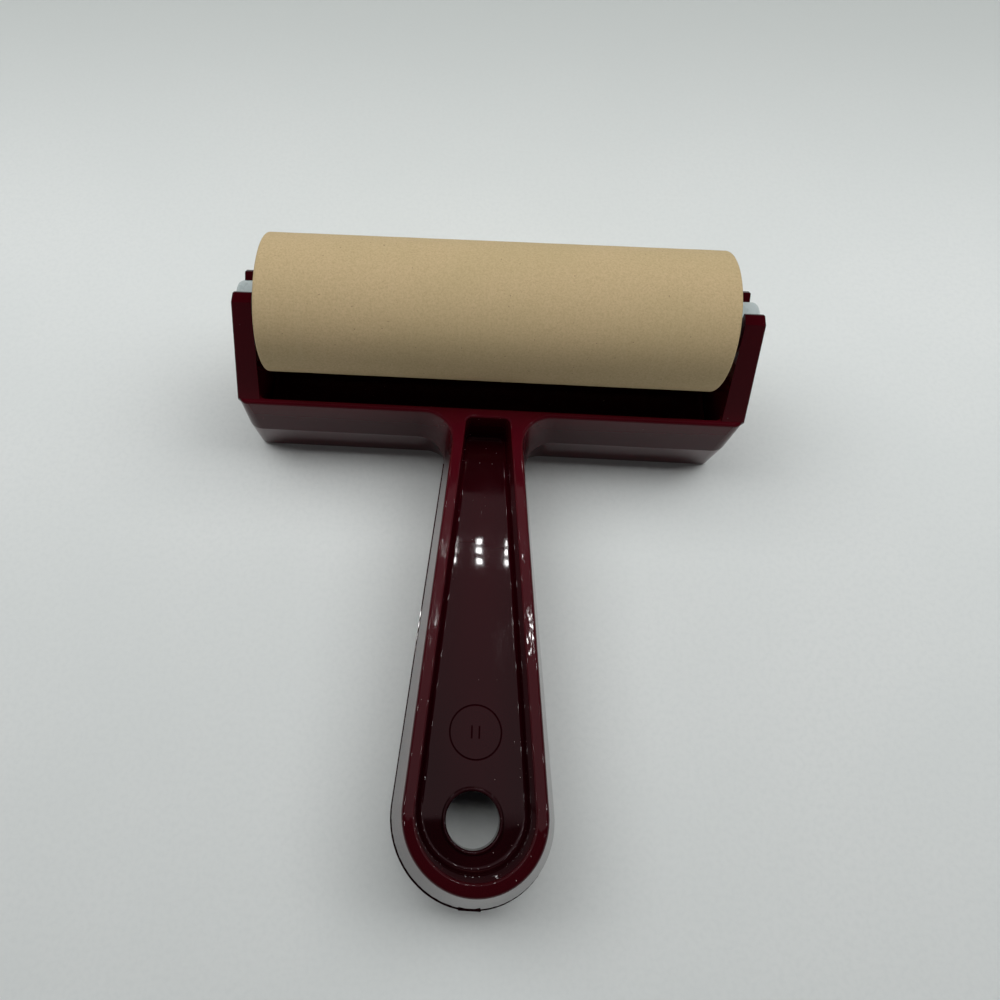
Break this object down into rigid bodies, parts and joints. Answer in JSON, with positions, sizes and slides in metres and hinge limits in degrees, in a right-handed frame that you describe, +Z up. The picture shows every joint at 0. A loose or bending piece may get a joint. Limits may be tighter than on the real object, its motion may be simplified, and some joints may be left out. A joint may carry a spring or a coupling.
{
  "type": "rubber brayer",
  "caption": "Hand brayer: a soft rubber roller turning in the open clips of a one-piece moulded plastic frame with a tapered handle and a hanging hole.",
  "frame": {"origin": "middle of the footprint, on the table the brayer lies on with its roller upwards", "axes": "+X along the roller's axle, +Y from the handle to the roller, +Z up"},
  "size_m": [0.1192, 0.1382, 0.0533],
  "materials": {
    "frame_plastic": "polished dark maroon moulding",
    "roller_rubber": "ground matte tan rubber",
    "core_plastic": "plain white tube",
    "hub_plastic": "smooth white moulding"
  },
  "bodies": {
    "frame": {"frame_moulding": "frame_plastic"},
    "roller": {"rubber_covering": "roller_rubber", "roller_core": "core_plastic", "hub_left": "hub_plastic", "hub_right": "hub_plastic"}
  },
  "joints": [
    {"name": "roller_spin", "type": "hinge", "parent": "frame", "child": "roller", "pos_m": [0, 0.05348, 0.0377], "axis": [1, 0, 0], "continuous": true}
  ]
}
